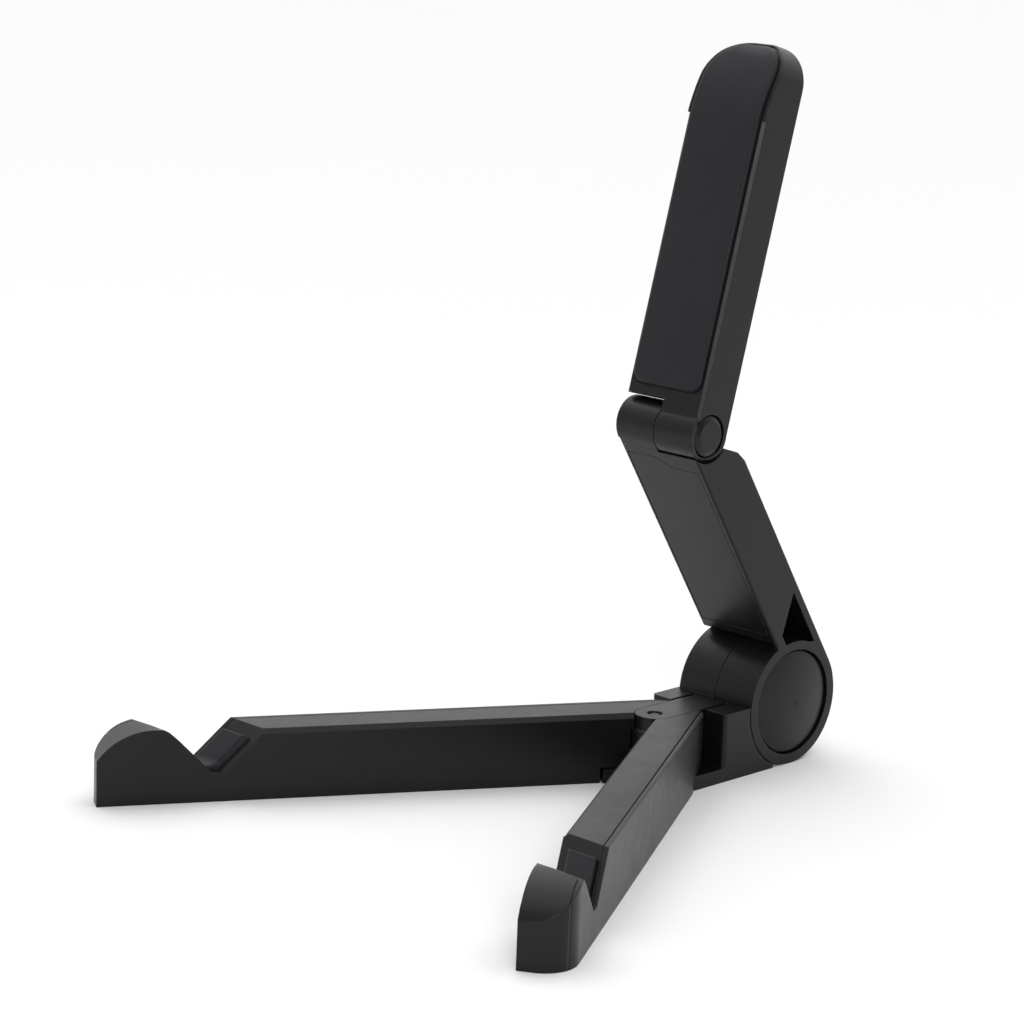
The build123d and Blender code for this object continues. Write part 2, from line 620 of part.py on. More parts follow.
with BuildPart() as upper_arm_pad:
    add(tip_band(0.02 - pad_sink, pad_t, pad_half, pad_bottom, pad_top, arm2_corner - rim - pad_groove))
upper_arm_pad.part.label = "upper_arm_pad"
export_step(upper_arm_pad.part, "parts/upper_arm_pad.step")

with BuildPart() as elbow_cap:
    with BuildSketch(side_plane(elbow_lean, elbow_at, small_seat_x)):
        Circle(small_cap_r)
    extrude(amount=half_width - small_seat_x - 0.3)
    with BuildSketch(side_plane(elbow_lean, elbow_at, half_width - 0.3)):
        Circle(small_cap_r)
    extrude(amount=0.7, taper=60)
    with BuildSketch(side_plane(elbow_lean, elbow_at, small_seat_x)):
        Circle(3.8)
    extrude(amount=1.6, mode=Mode.SUBTRACT)
    with BuildSketch(side_plane(elbow_lean, elbow_at, small_seat_x - 1.5)):
        Circle(4.55)
        Circle(3.8, mode=Mode.SUBTRACT)
    extrude(amount=1.5)
elbow_cap.part.label = "elbow_cap"
export_step(elbow_cap.part, "parts/elbow_cap.step")

# ---------------------------------------------------------------- legs
under_z = plate_t + 0.3            # underside of the legs over the plate
knuckle_top = leg_h - tongue_t - 0.3
knuckle_mid = (under_z + knuckle_top) / 2
stop_gap = 0.2                     # between a leg and the tongue at the open stop


def leg_plan(side, inner, outer):
    """Plan of one leg, rounded tip and rear end, kept between two distances from the pivot line."""
    rear = -math.sqrt(leg_rear_r ** 2 - leg_w ** 2)
    rear_inner = -math.sqrt(leg_rear_r ** 2 - fit_gap ** 2)
    tip = leg_len - leg_tip_r
    mid = math.radians(140)
    with BuildSketch(leg_plane(side, 0)) as plan:
        with BuildLine():
            Line((rear, side * leg_w), (tip, side * leg_w))
            RadiusArc((tip, side * leg_w), (leg_len, side * (leg_w - leg_tip_r)), side * leg_tip_r)
            Line((leg_len, side * (leg_w - leg_tip_r)), (leg_len, side * fit_gap))
            Line((leg_len, side * fit_gap), (rear_inner, side * fit_gap))
            ThreePointArc((rear_inner, side * fit_gap),
                          (leg_rear_r * math.cos(mid), side * leg_rear_r * math.sin(mid)),
                          (rear, side * leg_w))
        make_face()
        with Locations((leg_len / 2, side * (inner + outer) / 2)):
            Rectangle(2 * leg_len, outer - inner, mode=Mode.INTERSECT)
    return plan.sketch


def leg_side_plane(side):
    """Upright plane of one leg through the pivot axis: local x to the tip, local y up."""
    a = math.radians(leg_open)
    return Plane(origin=(0, pin_y, 0), x_dir=(side * math.sin(a), -math.cos(a), 0),
                 z_dir=(-math.cos(a), -side * math.sin(a), 0))


def cross_box(x_size, y_size, x, y, z):
    """Rectangle on a level plane, placed by its middle."""
    with BuildSketch(Plane.XY.offset(z)) as flat:
        with Locations((x, y)):
            Rectangle(x_size, y_size)
    return flat.sketch


def pivot_circle(radius, z):
    """Circle round the leg pivot on a level plane."""
    with BuildSketch(Plane.XY.offset(z)) as flat:
        with Locations((0, pin_y)):
            Circle(radius)
    return flat.sketch


def leg_cuts(side):
    """Cuts shared by a leg body and its side cover: top, curled tip, notch and room for the plate."""
    extrude(cross_box(240, 140, 0, notch_y[0] + 70, leg_h), amount=4, mode=Mode.SUBTRACT)
    with BuildSketch(leg_side_plane(side)) as tip_view:
        with BuildLine():
            Polyline((leg_len, 11.4), (leg_len + 3, 11.4), (leg_len + 3, 24), (112, 24), (112, crest_z),
                     (124.4, crest_z))
            ThreePointArc((124.4, crest_z), (134.8, 16.3), (leg_len, 11.4))
        make_face()
    extrude(tip_view.sketch, amount=40, both=True, mode=Mode.SUBTRACT)
    with BuildSketch(Plane(origin=(-120, 0, 0), x_dir=(0, 1, 0), z_dir=(1, 0, 0))) as notch_view:
        with BuildLine():
            Polyline((notch_y[0] + 2.0, leg_h + 2.4), (notch_y[0], leg_h), (notch_y[1], notch_floor),
                     (notch_y[2], notch_floor), (notch_y[3], hook_top), (notch_y[3] - 2.0, hook_top + 2.1),
                     (notch_y[3] - 3.0, crest_z), (notch_y[3] - 3.0, leg_h + 4),
                     (notch_y[0] + 2.0, leg_h + 4),
                     close=True)
        make_face()
    extrude(notch_view.sketch, amount=240, mode=Mode.SUBTRACT)
    extrude(pivot_circle(plate_r + 0.6, 0), amount=under_z, mode=Mode.SUBTRACT)


crest_z = 18.6                     # highest point of the hook
knuckle_z = {-1: (under_z, knuckle_mid - fit_gap), 1: (knuckle_mid + fit_gap, knuckle_top)}
leg_names = {-1: "left", 1: "right"}
pad_side = 2.3                     # bare wall beside the notch pad
notch_pad_from = 3.5               # bare wall above the notch pad


def wall_point(down, out):
    """Point on the hub-side wall of the notch, a distance down its slope and out from it."""
    a = math.atan2(leg_h - notch_floor, notch_y[0] - notch_y[1])
    return (notch_y[0] - down * math.cos(a) - out * math.sin(a),
            leg_h - down * math.sin(a) + out * math.cos(a))


for side in (-1, 1):
    own_low, own_high = knuckle_z[side]
    seam_from = leg_w - leg_cover - seam_w
    with BuildPart() as seam_floor:
        extrude(leg_plan(side, seam_from - 0.1, leg_w - leg_cover + 0.1), amount=leg_h + 1.2)
        leg_cuts(side)
    with BuildPart() as leg_body:
        extrude(leg_plan(side, fit_gap, leg_w - leg_cover), amount=leg_h + 1.2)
        leg_cuts(side)
        # room for the tongue, its straight side is the open stop
        extrude(cross_box(20, 20, side * (tongue_w + stop_gap - 10), pin_y + 10, knuckle_top),
                amount=6, mode=Mode.SUBTRACT)
        extrude(pivot_circle(tongue_w + stop_gap, knuckle_top), amount=6, mode=Mode.SUBTRACT)
        # rear sector stays on its own side of the middle plane
        extrude(cross_box(20, 20, side * (fit_gap - 10), pin_y + 10, 0), amount=knuckle_top,
                mode=Mode.SUBTRACT)
        # own knuckle, and room for the other one
        extrude(pivot_circle(knuckle_r, own_low), amount=own_high - own_low)
        if side < 0:
            extrude(pivot_circle(knuckle_r + 0.3, own_high), amount=knuckle_top - own_high,
                    mode=Mode.SUBTRACT)
        else:
            extrude(pivot_circle(knuckle_r + 0.3, 0), amount=own_low, mode=Mode.SUBTRACT)
        extrude(pivot_circle(pin_r + bolt_gap, 0), amount=leg_h, mode=Mode.SUBTRACT)
        # hollow, closed by the side cover
        with BuildSketch(leg_side_plane(side)) as hollow_view:
            with BuildLine():
                Polyline((17.5, 1.6), (133, 1.6), (133, 5.2), (97, 5.2), (90, leg_h - leg_wall),
                         (17.5, leg_h - leg_wall), close=True)
            make_face()
        hollow = extrude(hollow_view.sketch, amount=40, both=True, mode=Mode.PRIVATE)
        room = extrude(leg_plan(side, fit_gap + leg_wall, leg_w - leg_cover), amount=leg_h,
                       mode=Mode.PRIVATE)
        add(hollow & room, mode=Mode.SUBTRACT)
        # bevelled inner top edge
        bevel = 1.2
        a = math.radians(leg_open)
        with BuildSketch(Plane(origin=(0, pin_y, 0), x_dir=(side * math.cos(a), math.sin(a), 0),
                               z_dir=(side * math.sin(a), -math.cos(a), 0))) as bevel_view:
            with BuildLine():
                Polyline((fit_gap, side * (leg_h - bevel)), (fit_gap + bevel, side * leg_h),
                         (fit_gap + bevel, side * (leg_h + 1)), (-1, side * (leg_h + 1)),
                         (-1, side * (leg_h - bevel)), close=True)
            make_face()
        extrude(bevel_view.sketch, amount=99.5, mode=Mode.SUBTRACT)
        # open seam beside the cover
        slab = extrude(leg_plan(side, seam_from, leg_w - leg_cover), amount=leg_h + 1.2, mode=Mode.PRIVATE)
        add(slab - Pos(0, 0, -seam_depth) * seam_floor.part, mode=Mode.SUBTRACT)
    leg_body.part.label = f"leg_{leg_names[side]}_body"
    export_step(leg_body.part, f"parts/leg_{leg_names[side]}_body.step")

    with BuildPart() as leg_side_cover:
        extrude(leg_plan(side, leg_w - leg_cover + 0.02, leg_w), amount=leg_h + 1.2)
        leg_cuts(side)
    leg_side_cover.part.label = f"leg_{leg_names[side]}_cover"
    export_step(leg_side_cover.part, f"parts/leg_{leg_names[side]}_cover.step")

    with BuildPart() as notch_pad:
        with BuildSketch(Plane(origin=(-120, 0, 0), x_dir=(0, 1, 0), z_dir=(1, 0, 0))):
            with BuildLine():
                Polyline((hub_y - 132.3, 10.1), wall_point(notch_pad_from, notch_pad_t),
                         wall_point(notch_pad_from, 0.02), (notch_y[1], notch_floor + 0.02),
                         (notch_y[2] + 0.1, notch_floor + 0.02), (hub_y - 136.22, 8.26), (hub_y - 136.0,
                                                                                          8.6))
                ThreePointArc((hub_y - 136.0, 8.6), (hub_y - 133.8, 8.75), (hub_y - 132.3, 10.1))
            make_face()
        extrude(amount=240)
        extrude(leg_plan(side, pad_side, leg_w - pad_side), amount=leg_h + 1, mode=Mode.INTERSECT)
    notch_pad.part.label = f"leg_{leg_names[side]}_notch_pad"
    export_step(notch_pad.part, f"parts/leg_{leg_names[side]}_notch_pad.step")

# ---------------------------------------------------------------- leg pivot hardware
with BuildPart() as leg_pivot_pin:
    extrude(pivot_circle(3.0, 0.3), amount=1.15)
    extrude(pivot_circle(pin_r, 1.4), amount=leg_h - 0.3 - 1.4)
    chamfer(leg_pivot_pin.edges().group_by(Axis.Z)[-1], length=0.3)
    fillet(leg_pivot_pin.edges().group_by(Axis.Z)[0], radius=0.4)
leg_pivot_pin.part.label = "leg_pivot_pin"
export_step(leg_pivot_pin.part, "parts/leg_pivot_pin.step")

with BuildPart() as leg_pivot_washers:
    for start in (plate_t, knuckle_mid - fit_gap, knuckle_top):
        with BuildSketch(Plane.XY.offset(start + 0.05)):
            with Locations((0, pin_y)):
                Circle(4.8)
            with Locations((0, pin_y)):
                Circle(pin_r + bolt_gap, mode=Mode.SUBTRACT)
        extrude(amount=0.2)
leg_pivot_washers.part.label = "leg_pivot_washers"
export_step(leg_pivot_washers.part, "parts/leg_pivot_washers.step")
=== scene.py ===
import math

import bmesh
import bpy
from mathutils import Matrix, Vector


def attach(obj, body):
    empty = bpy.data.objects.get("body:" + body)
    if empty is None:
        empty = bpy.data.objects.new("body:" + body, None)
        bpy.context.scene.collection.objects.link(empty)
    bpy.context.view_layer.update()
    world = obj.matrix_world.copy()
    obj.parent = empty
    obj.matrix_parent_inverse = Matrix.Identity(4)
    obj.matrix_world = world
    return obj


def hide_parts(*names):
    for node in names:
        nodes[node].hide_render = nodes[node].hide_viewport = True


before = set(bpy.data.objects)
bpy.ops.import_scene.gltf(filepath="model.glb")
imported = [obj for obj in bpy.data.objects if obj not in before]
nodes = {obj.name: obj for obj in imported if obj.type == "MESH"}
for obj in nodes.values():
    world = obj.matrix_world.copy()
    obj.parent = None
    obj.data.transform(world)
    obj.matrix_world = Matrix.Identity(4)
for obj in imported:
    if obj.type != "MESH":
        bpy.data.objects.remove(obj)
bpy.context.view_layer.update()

MM = 0.001

# ---------------------------------------------------------------- camera
CAMERA_AT = Vector((0.51804, -0.55526, 0.24729))
CAMERA_YAW = math.radians(44.13)
CAMERA_PITCH = math.radians(12.90)
CAMERA_ROLL = math.radians(2.10)
FOCAL_PIXELS = 3251.78
IMAGE_SIDE = 1024
SENSOR = 36.0
CLIP_NEAR, CLIP_FAR = 0.02, 60.0


def add_camera():
    back = Vector((math.sin(CAMERA_YAW) * math.cos(CAMERA_PITCH),
                   -math.cos(CAMERA_YAW) * math.cos(CAMERA_PITCH),
                   math.sin(CAMERA_PITCH)))
    level = Vector((math.cos(CAMERA_YAW), math.sin(CAMERA_YAW), 0.0))
    rise = back.cross(level)
    right = math.cos(CAMERA_ROLL) * level + math.sin(CAMERA_ROLL) * rise
    up = math.cos(CAMERA_ROLL) * rise - math.sin(CAMERA_ROLL) * level
    turn = Matrix((right, up, back)).transposed().to_4x4()
    data = bpy.data.cameras.new("camera")
    data.sensor_width = SENSOR
    data.lens = FOCAL_PIXELS / IMAGE_SIDE * SENSOR
    data.clip_start = CLIP_NEAR
    data.clip_end = CLIP_FAR
    camera = bpy.data.objects.new("camera", data)
    camera.matrix_world = Matrix.Translation(CAMERA_AT) @ turn
    bpy.context.scene.collection.objects.link(camera)
    bpy.context.scene.camera = camera


# ---------------------------------------------------------------- node helpers
class Graph:
    """Adds and links shader nodes of one material."""

    def __init__(self, tree):
        self.tree = tree
        self.tree.nodes.clear()

    def add(self, kind, **settings):
        node = self.tree.nodes.new(kind)
        for key, value in settings.items():
            setattr(node, key, value)
        return node

    def link(self, source, target):
        self.tree.links.new(source, target)

    def noise(self, where, scale, detail, roughness=0.5):
        node = self.add("ShaderNodeTexNoise")
        node.inputs["Scale"].default_value = scale
        node.inputs["Detail"].default_value = detail
        node.inputs["Roughness"].default_value = roughness
        self.link(where, node.inputs["Vector"])
        return node.outputs["Fac"]

    def spread(self, value, low, high, to_low, to_high):
        node = self.add("ShaderNodeMapRange")
        for socket, number in zip(node.inputs[1:5], (low, high, to_low, to_high)):
            socket.default_value = number
        self.link(value, node.inputs[0])
        return node.outputs[0]

    def mottle(self, value):
        """Cloudy noise stretched to run from 0 to 1."""
        return self.spread(value, 0.3, 0.7, 0.0, 1.0)

    def maths(self, operation, first, second):
        node = self.add("ShaderNodeMath", operation=operation)
        for socket, value in zip(node.inputs, (first, second)):
            if isinstance(value, (int, float)):
                socket.default_value = value
            else:
                self.link(value, socket)
        return node.outputs[0]

    def blend(self, factor, first, second):
        node = self.add("ShaderNodeMix", data_type="RGBA")
        self.link(factor, node.inputs["Factor"])
        for socket, value in ((node.inputs[6], first), (node.inputs[7], second)):
            if isinstance(value, tuple):
                socket.default_value = (*value, 1.0)
            else:
                self.link(value, socket)
        return node.outputs[2]

    def bump(self, height, distance, strength, normal=None):
        node = self.add("ShaderNodeBump")
        node.inputs["Distance"].default_value = distance
        node.inputs["Strength"].default_value = strength
        self.link(height, node.inputs["Height"])
        if normal is not None:
            self.link(normal, node.inputs["Normal"])
        return node.outputs["Normal"]

    def rounded(self, radius, samples=6):
        node = self.add("ShaderNodeBevel", samples=samples)
        node.inputs["Radius"].default_value = radius
        return node.outputs["Normal"]

    def edges(self, radius):
        """1 on outer edges within radius, 0 on flat faces."""
        geometry = self.add("ShaderNodeNewGeometry")
        turned = self.add("ShaderNodeVectorMath", operation="DOT_PRODUCT")
        self.link(self.rounded(radius), turned.inputs[0])
        self.link(geometry.outputs["Normal"], turned.inputs[1])
        return self.spread(turned.outputs["Value"], 0.99, 0.82, 0.0, 1.0)


def material(name):
    made = bpy.data.materials.new(name)
    made.use_nodes = True
    graph = Graph(made.node_tree)
    shader = graph.add("ShaderNodeBsdfPrincipled")
    output = graph.add("ShaderNodeOutputMaterial")
    graph.link(shader.outputs["BSDF"], output.inputs["Surface"])
    where = graph.add("ShaderNodeTexCoord").outputs["Object"]
    return made, graph, shader, where


ABS_DARK, ABS_LIGHT = (0.0034, 0.0034, 0.0046), (0.0054, 0.0054, 0.0068)
# painted highlight: a lighter colour put on the rounded outer edges where light catches them, and the width
# of that edge band
ABS_EDGE_HIGHLIGHT = (0.020, 0.020, 0.024)
ABS_IOR = 1.35
ABS_EDGE_HIGHLIGHT_WIDTH = 0.45 * MM
ABS_EDGE_R = 0.28 * MM
RUBBER_DARK, RUBBER_LIGHT = (0.0068, 0.0066, 0.0100), (0.0098, 0.0095, 0.0134)
RUBBER_DUST = (0.020, 0.020, 0.025)
RUBBER_IOR = 1.37
NYLON_DARK, NYLON_LIGHT = (0.30, 0.29, 0.26), (0.42, 0.41, 0.37)
FLOOR_DARK, FLOOR_LIGHT = (0.86, 0.86, 0.86), (0.875, 0.875, 0.875)
HARDWARE_EDGE_R = 0.1 * MM


def moulded_abs():
    made, g, shader, where = material("moulded_abs")
    edge_highlight = g.edges(ABS_EDGE_HIGHLIGHT_WIDTH)
    cloud = g.noise(where, 34.0, 4.0, 0.6)
    fine = g.noise(where, 900.0, 3.0, 0.6)
    scuffs = g.noise(where, 210.0, 5.0, 0.7)
    tone = g.blend(g.mottle(cloud), ABS_DARK, ABS_LIGHT)
    # painted highlight: outer edges lightened towards the edge colour, broken up in patches by noise; the
    # same edge mask also lowers roughness
    tone = g.blend(g.maths("MULTIPLY", edge_highlight, g.spread(scuffs, 0.35, 0.7, 0.2, 1.0)), tone, ABS_EDGE_HIGHLIGHT)
    g.link(tone, shader.inputs["Base Color"])
    rough = g.maths("ADD", g.spread(cloud, 0.25, 0.75, 0.33, 0.38), g.spread(scuffs, 0.3, 0.7, -0.03, 0.03))
    rough = g.maths("SUBTRACT", rough, g.maths("MULTIPLY", edge_highlight, 0.08))
    g.link(rough, shader.inputs["Roughness"])
    shader.inputs["IOR"].default_value = ABS_IOR
    spark = g.noise(where, 3200.0, 2.0, 0.5)
    normal = g.bump(fine, 0.03 * MM, 0.25, g.rounded(ABS_EDGE_R))
    g.link(g.bump(spark, 0.02 * MM, 0.5, normal), shader.inputs["Normal"])
    return made


def pad_rubber():
    made, g, shader, where = material("pad_rubber")
    cloud = g.noise(where, 26.0, 4.0, 0.6)
    grain = g.noise(where, 2600.0, 3.0, 0.6)
    dust = g.noise(where, 480.0, 5.0, 0.7)
    tone = g.blend(g.mottle(cloud), RUBBER_DARK, RUBBER_LIGHT)
    tone = g.blend(g.spread(dust, 0.62, 0.78, 0.0, 0.3), tone, RUBBER_DUST)
    g.link(tone, shader.inputs["Base Color"])
    g.link(g.spread(g.noise(where, 120.0, 4.0), 0.3, 0.7, 0.52, 0.64), shader.inputs["Roughness"])
    shader.inputs["IOR"].default_value = RUBBER_IOR
    shader.inputs["Sheen Weight"].default_value = 0.05
    shader.inputs["Sheen Roughness"].default_value = 0.4
    g.link(g.bump(grain, 0.03 * MM, 0.6), shader.inputs["Normal"])
    return made


METAL_STREAK = (1, 1, 0.1)


def metal(name, dark, light, rough_low, rough_high, metallic):
    made, g, shader, where = material(name)
    stretch = g.add("ShaderNodeMapping")
    stretch.inputs["Scale"].default_value = METAL_STREAK
    g.link(where, stretch.inputs["Vector"])
    lines = g.noise(stretch.outputs["Vector"], 900.0, 4.0, 0.6)
    cloud = g.noise(where, 260.0, 4.0, 0.6)
    g.link(g.blend(g.mottle(cloud), dark, light), shader.inputs["Base Color"])
    g.link(g.spread(lines, 0.3, 0.7, rough_low, rough_high), shader.inputs["Roughness"])
    shader.inputs["Metallic"].default_value = metallic
    g.link(g.bump(lines, 0.02 * MM, 0.4, g.rounded(HARDWARE_EDGE_R)), shader.inputs["Normal"])
    return made


def washer_nylon():
    made, g, shader, where = material("washer_nylon")
    cloud = g.noise(where, 300.0, 4.0, 0.6)
    g.link(g.blend(cloud, NYLON_DARK, NYLON_LIGHT), shader.inputs["Base Color"])
    g.link(g.spread(cloud, 0.3, 0.7, 0.42, 0.58), shader.inputs["Roughness"])
    grain = g.noise(where, 1800.0, 3.0)
    g.link(g.bump(grain, 0.02 * MM, 0.5, g.rounded(HARDWARE_EDGE_R)), shader.inputs["Normal"])
    return made


def stage_floor():
    made, g, shader, where = material("stage_floor")
    cloud = g.noise(where, 3.0, 3.0, 0.5)
    g.link(g.blend(cloud, FLOOR_DARK, FLOOR_LIGHT), shader.inputs["Base Color"])
    g.link(g.spread(cloud, 0.3, 0.7, 0.85, 0.9), shader.inputs["Roughness"])
    shader.inputs["Specular IOR Level"].default_value = 0.1
    return made


# ---------------------------------------------------------------- stage and light
FLOOR_RADIUS, FLOOR_SEGMENTS = 14.0, 96
WORLD_FRONT, WORLD_BACK = 0.19, 1.1
WORLD_TOWARD = (-0.6787, 0.6997, 0.2233)
WORLD_FADE = 0.6
SUN_STRENGTH = 1.2
SUN_SPREAD = math.radians(80.0)
SUN_TURN = (math.radians(-12.0), math.radians(-10.0), 0.0)
SOFTBOX_AT = Vector((0.95, -0.85, 0.62))
SOFTBOX_AIM = Vector((0, 0, 0.08))
SOFTBOX_SIDE = 0.55
SOFTBOX_POWER = 7.0


def add_stage():
    mesh = bpy.data.meshes.new("floor")
    shape = bmesh.new()
    bmesh.ops.create_circle(shape, cap_ends=True, radius=FLOOR_RADIUS, segments=FLOOR_SEGMENTS)
    shape.to_mesh(mesh)
    shape.free()
    floor = bpy.data.objects.new("floor", mesh)
    floor.data.materials.append(stage_floor())
    bpy.context.scene.collection.objects.link(floor)


def add_world():
    world = bpy.data.worlds.new("studio")
    world.use_nodes = True
    g = Graph(world.node_tree)
    where = g.add("ShaderNodeTexCoord").outputs["Generated"]
    toward = g.add("ShaderNodeVectorMath", operation="DOT_PRODUCT")
    toward.inputs[1].default_value = WORLD_TOWARD
    g.link(where, toward.inputs[0])
    sky = g.add("ShaderNodeBackground")
    sky.inputs["Color"].default_value = (1.0, 1.0, 1.0, 1.0)
    glow = g.spread(toward.outputs["Value"], -WORLD_FADE, WORLD_FADE, WORLD_FRONT, WORLD_BACK)
    g.link(glow, sky.inputs["Strength"])
    output = g.add("ShaderNodeOutputWorld")
    g.link(sky.outputs["Background"], output.inputs["Surface"])
    bpy.context.scene.world = world


def add_sun():
    data = bpy.data.lights.new("softbox", "SUN")
    data.energy = SUN_STRENGTH
    data.angle = SUN_SPREAD
    sun = bpy.data.objects.new("softbox", data)
    sun.rotation_euler = SUN_TURN
    bpy.context.scene.collection.objects.link(sun)


def add_softbox():
    data = bpy.data.lights.new("front_box", "AREA")
    data.shape = "SQUARE"
    data.size = SOFTBOX_SIDE
    data.energy = SOFTBOX_POWER
    box = bpy.data.objects.new("front_box", data)
    turn = (SOFTBOX_AIM - SOFTBOX_AT).to_track_quat("-Z", "Y").to_matrix().to_4x4()
    box.matrix_world = Matrix.Translation(SOFTBOX_AT) @ turn
    bpy.context.scene.collection.objects.link(box)


# ---------------------------------------------------------------- pads made in mesh code, sizes in mm
ELBOW_Y, ELBOW_Z = 33.789, 90.396
ELBOW_LEAN = math.radians(-14.8)
PAD_HALF = 10.9
PAD_BOTTOM, PAD_TOP = 9.6, 96.1
PAD_BOTTOM_R, PAD_TOP_R = 3.0, 8.7
PAD_PROUD = 1.0
PAD_BASE = -0.48
PAD_EDGE_R = 0.55
PAD_CROWN = 0.14
PAD_ROWS, PAD_COLUMNS = 121, 37
SIDE_GAP = 0.02                    # keeps a pad's outline inside its CAD solid
FACE_GAP = 0.01                    # the same for its top and base
SMOOTH_ANGLE = math.radians(50)
FRONT_FLAT = (77.0, 5.2)           # the arm's front line curves back above here
FRONT_BEND = (85.6, 3.85)
FRONT_TURN = (92.6, 1.3)
FRONT_ROUND = (95.14, -0.46)
FRONT_END = (96.9, -3.0)


def arm_point(x, k, m):
    """Point on the upper arm: across, along from the elbow and out to the front."""
    up = (-math.sin(ELBOW_LEAN), math.cos(ELBOW_LEAN))
    front = (-math.cos(ELBOW_LEAN), -math.sin(ELBOW_LEAN))
    return Vector((x, ELBOW_Y + k * up[0] + m * front[0], ELBOW_Z + k * up[1] + m * front[1])) * MM


def arc_at(k, first, middle, last):
    """Height at k of the arc through three points, bulging forwards."""
    (ax, ay), (bx, by), (cx, cy) = first, middle, last
    d = 2 * (ax * (by - cy) + bx * (cy - ay) + cx * (ay - by))
    a2, b2, c2 = ax * ax + ay * ay, bx * bx + by * by, cx * cx + cy * cy
    ox = (a2 * (by - cy) + b2 * (cy - ay) + c2 * (ay - by)) / d
    oy = (a2 * (cx - bx) + b2 * (ax - cx) + c2 * (bx - ax)) / d
    r = math.hypot(ax - ox, ay - oy)
    return oy + math.sqrt(max(0.0, r * r - (k - ox) ** 2))


def front_at(k):
    if k <= FRONT_FLAT[0]:
        return FRONT_FLAT[1]
    if k <= FRONT_TURN[0]:
        return arc_at(k, FRONT_FLAT, FRONT_BEND, FRONT_TURN)
    return arc_at(k, FRONT_TURN, FRONT_ROUND, FRONT_END)


def pad_width(k):
    """Half width of the pad at height k, with its rounded corners."""
    width = PAD_HALF
    if k < PAD_BOTTOM + PAD_BOTTOM_R:
        below = PAD_BOTTOM + PAD_BOTTOM_R - k
        width = PAD_HALF - PAD_BOTTOM_R + math.sqrt(max(0.0, PAD_BOTTOM_R ** 2 - below ** 2))
    if k > PAD_TOP - PAD_TOP_R:
        above = k - PAD_TOP + PAD_TOP_R
        width = PAD_HALF - PAD_TOP_R + math.sqrt(max(0.0, PAD_TOP_R ** 2 - above ** 2))
    return width


def pad_inset(x, k):
    """Distance from the outline of the pad."""
    x = abs(x)
    for radius, end, sign in ((PAD_BOTTOM_R, PAD_BOTTOM, 1), (PAD_TOP_R, PAD_TOP, -1)):
        cx, ck = PAD_HALF - radius, end + sign * radius
        if x > cx and (k - ck) * sign < 0:
            return radius - math.hypot(x - cx, k - ck)
    return min(PAD_HALF - x, k - PAD_BOTTOM, PAD_TOP - k)


def edge_drop(inset, radius):
    """How far a rounded edge lies under the top at a distance from the outline."""
    reach = max(0.0, min(inset, radius))
    return radius - math.sqrt(radius ** 2 - (radius - reach) ** 2)


def eased(count):
    """Numbers from -1 to 1, close together at both ends."""
    return [math.sin(math.pi / 2 * (2 * i / (count - 1) - 1)) for i in range(count)]


def slab_mesh(name, tops, bottoms):
    """Closed mesh between two grids of points with the same rows and columns."""
    shape = bmesh.new()
    upper = [[shape.verts.new(p) for p in row] for row in tops]
    lower = [[shape.verts.new(p) for p in row] for row in bottoms]
    rows, columns = len(tops), len(tops[0])
    for grid in (upper, lower):
        for i in range(rows - 1):
            for j in range(columns - 1):
                shape.faces.new((grid[i][j], grid[i][j + 1], grid[i + 1][j + 1], grid[i + 1][j]))
    rim = [(0, j) for j in range(columns)] + [(i, columns - 1) for i in range(1, rows)]
    rim += [(rows - 1, j) for j in range(columns - 2, -1, -1)] + [(i, 0) for i in range(rows - 2, 0, -1)]
    for (ai, aj), (bi, bj) in zip(rim, rim[1:] + rim[:1]):
        shape.faces.new((upper[ai][aj], upper[bi][bj], lower[bi][bj], lower[ai][aj]))
    bmesh.ops.recalc_face_normals(shape, faces=shape.faces)
    for face in shape.faces:
        face.smooth = True
    mesh = bpy.data.meshes.new(name)
    shape.to_mesh(mesh)
    shape.free()
    mesh.set_sharp_from_angle(angle=SMOOTH_ANGLE)
    return mesh


def add_pad(name, mesh, body, node):
    piece = bpy.data.objects.new(name, mesh)
    piece.data.materials.append(FINISHES["pad_rubber"])
    bpy.context.scene.collection.objects.link(piece)
    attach(piece, body)
    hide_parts(node)


def add_arm_pad():
    middle, reach = (PAD_TOP + PAD_BOTTOM) / 2, (PAD_TOP - PAD_BOTTOM) / 2 - SIDE_GAP
    tops, bottoms = [], []
    for v in eased(PAD_ROWS):
        k = middle + reach * v
        width = pad_width(k) - SIDE_GAP
        top, bottom = [], []
        for u in eased(PAD_COLUMNS):
            x = width * u
            across, along = x / PAD_HALF, (k - middle) / reach
            sink = PAD_CROWN * (across ** 4 + along ** 8) / 2
            proud = PAD_PROUD - FACE_GAP - sink - edge_drop(pad_inset(x, k), PAD_EDGE_R)
            top.append(arm_point(x, k, front_at(k) + proud))
            bottom.append(arm_point(x, k, front_at(k) + PAD_BASE + FACE_GAP))
        tops.append(top)
        bottoms.append(bottom)
    name = "arm_pad_rubber"
    add_pad(name, slab_mesh(name, tops, bottoms), "upper_arm", "upper_arm_pad")


PIN_Y = 32.8
HUB_Y = 71.8
LEG_ANGLE = math.radians(30.3)
NOTCH_TOP, NOTCH_FOOT, NOTCH_FLOOR, LEG_H = HUB_Y - 124.1, HUB_Y - 132.9, 7.3, 17.7
NOTCH_PAD_T = 1.35
NOTCH_PAD_FROM = 3.5
NOTCH_PAD_IN, NOTCH_PAD_OUT = 2.3, 9.6
NOTCH_BASE_GAP = 0.03
NOTCH_ROWS, NOTCH_COLUMNS = 61, 25
NOTCH_RUN = 16.0                   # length of the pad down the wall and over the floor
NOTCH_EDGE_R = 0.6
NOTCH_CROWN = 0.06
NOTCH_RISE = 0.985                 # share of the CAD pad's thickness that is used
WALL_SHARE = 0.7                   # share of the length that lies on the wall
FLOOR_SHARE = 0.75                 # share of the rest that lies on the floor
FOOT_BASE, FOOT_TOP = (NOTCH_FOOT, NOTCH_FLOOR + NOTCH_BASE_GAP), (HUB_Y - 132.3, 10.1)
